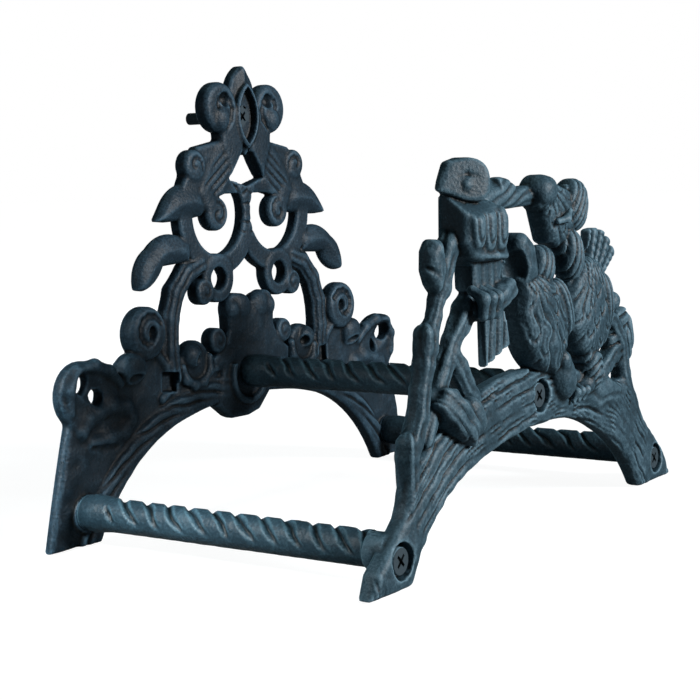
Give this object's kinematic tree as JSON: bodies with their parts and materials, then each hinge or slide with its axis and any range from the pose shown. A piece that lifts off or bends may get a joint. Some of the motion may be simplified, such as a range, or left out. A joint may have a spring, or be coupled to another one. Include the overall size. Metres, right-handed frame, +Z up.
{
  "type": "hose hanger",
  "caption": "Wall-mounted cast-iron hose hanger with a scrolled wall plate and birds among twigs on the front plate, joined by round bars that carry a coiled hose",
  "frame": {"origin": "the wall screw's axis where it leaves the back of the wall plate", "axes": "+Z up, +Y into the wall, -Y towards the viewer, +X to the right seen from the front"},
  "size_m": [0.294, 0.2101, 0.217],
  "materials": {
    "wall_casting": "sand-cast, painted blue-black",
    "front_casting": "sand-cast, painted blue-black",
    "bars": "sand-cast, painted blue-black",
    "screws": "blackened"
  },
  "bodies": {
    "root": {"wall_plate": "wall_casting", "front_plate": "front_casting", "bar_left": "bars", "bar_right": "bars", "bar_top": "bars", "front_screw_left": "screws", "front_screw_right": "screws", "front_screw_top": "screws", "rear_screw_left": "screws", "rear_screw_right": "screws", "rear_screw_top": "screws", "wall_screw": "screws"}
  },
  "joints": []
}
